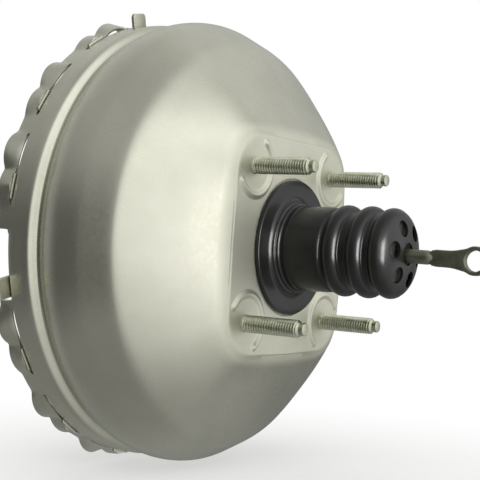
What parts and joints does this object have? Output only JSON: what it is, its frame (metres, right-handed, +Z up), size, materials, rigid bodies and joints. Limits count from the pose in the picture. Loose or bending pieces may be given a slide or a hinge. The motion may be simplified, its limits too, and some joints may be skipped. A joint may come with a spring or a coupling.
{
  "type": "brake booster",
  "caption": "Tandem vacuum brake booster: stepped pressed shell with studs at the rear, rubber boot, pedal push rod with an eye, and a sprung power piston inside.",
  "frame": {"origin": "centre of the four-stud pattern on the rear mounting face", "axes": "+X along the booster's axis towards the pedal, +Z up, +Y to the booster's side away from the picture's camera"},
  "size_m": [0.3031, 0.2682, 0.2682],
  "materials": {
    "shell_plating": "satin zinc plate over pressed steel",
    "stud_plating": "dull zinc plate, rolled thread",
    "rod_steel": "dark phosphated forged steel",
    "boot_rubber": "matte moulded rubber",
    "diaphragm_rubber": "fabric-backed rubber sheet",
    "seal_rubber": "smooth moulded rubber",
    "piston_phenolic": "moulded phenolic",
    "plate_steel": "pressed steel, dull plate",
    "spring_steel": "oil-tempered spring wire",
    "valve_metal": "turned, bright",
    "filter_felt": "needled grey felt",
    "filter_foam": "open-cell foam",
    "valve_nylon": "moulded black nylon"
  },
  "bodies": {
    "housing": {"rear_housing": "shell_plating", "front_housing": "shell_plating", "mounting_studs": "stud_plating", "master_cylinder_studs": "stud_plating", "housing_divider": "plate_steel", "divider_seal": "seal_rubber", "piston_bearing_seal": "seal_rubber", "front_seal": "seal_rubber", "primary_diaphragm": "diaphragm_rubber", "secondary_diaphragm": "diaphragm_rubber", "boot": "boot_rubber", "piston_return_spring": "spring_steel", "check_valve_grommet": "seal_rubber", "check_valve_body": "valve_nylon", "check_valve_nipple": "valve_nylon", "check_valve_spring": "spring_steel"},
    "piston": {"power_piston": "piston_phenolic", "primary_support_plate": "plate_steel", "secondary_support_plate": "plate_steel", "valve_stop_key": "plate_steel", "valve_retainer": "plate_steel", "control_valve_spring": "spring_steel", "valve_return_spring": "spring_steel", "air_filter": "filter_foam", "silencer_retainer": "plate_steel", "filter_silencer": "filter_felt", "reaction_disc": "seal_rubber", "output_rod": "rod_steel", "output_rod_retainer": "plate_steel"},
    "air_valve": {"air_valve": "valve_metal", "air_valve_seal": "seal_rubber"},
    "push_rod": {"push_rod": "rod_steel", "rod_spring_seat": "plate_steel"},
    "control_valve": {"control_valve": "seal_rubber", "control_valve_insert": "plate_steel"},
    "check_valve_disc": {"check_valve_disc": "seal_rubber"}
  },
  "joints": [
    {"name": "piston_stroke", "type": "slide", "parent": "housing", "child": "piston", "axis": [-1, 0, 0], "range_m": [0, 0.034], "stiffness_N_per_m": 2200, "springref_m": -0.06, "deforming": ["boot", "piston_return_spring", "primary_diaphragm", "secondary_diaphragm"]},
    {"name": "air_valve_travel", "type": "slide", "parent": "piston", "child": "air_valve", "axis": [-1, 0, 0], "range_m": [0, 0.0025], "stiffness_N_per_m": 2000, "springref_m": -0.01, "deforming": ["control_valve_spring", "valve_return_spring"]},
    {"name": "push_rod_swivel", "type": "hinge", "parent": "air_valve", "child": "push_rod", "pos_m": [0.016, 0, 0], "axis": [0, 1, 0], "range_deg": [-2.84, 1.16], "stiffness_Nm_per_rad": 2, "springref_deg": -0.46},
    {"name": "control_valve_travel", "type": "slide", "parent": "piston", "child": "control_valve", "axis": [-1, 0, 0], "range_m": [0, 0.00131]},
    {"name": "check_valve_lift", "type": "slide", "parent": "housing", "child": "check_valve_disc", "axis": [-1, 0, 0], "range_m": [0, 0.0015], "stiffness_N_per_m": 100, "springref_m": -0.003, "deforming": ["check_valve_spring"]}
  ],
  "couplings": [
    {"joint": "control_valve_travel", "follows": "air_valve_travel", "ratio": 0.52}
  ]
}
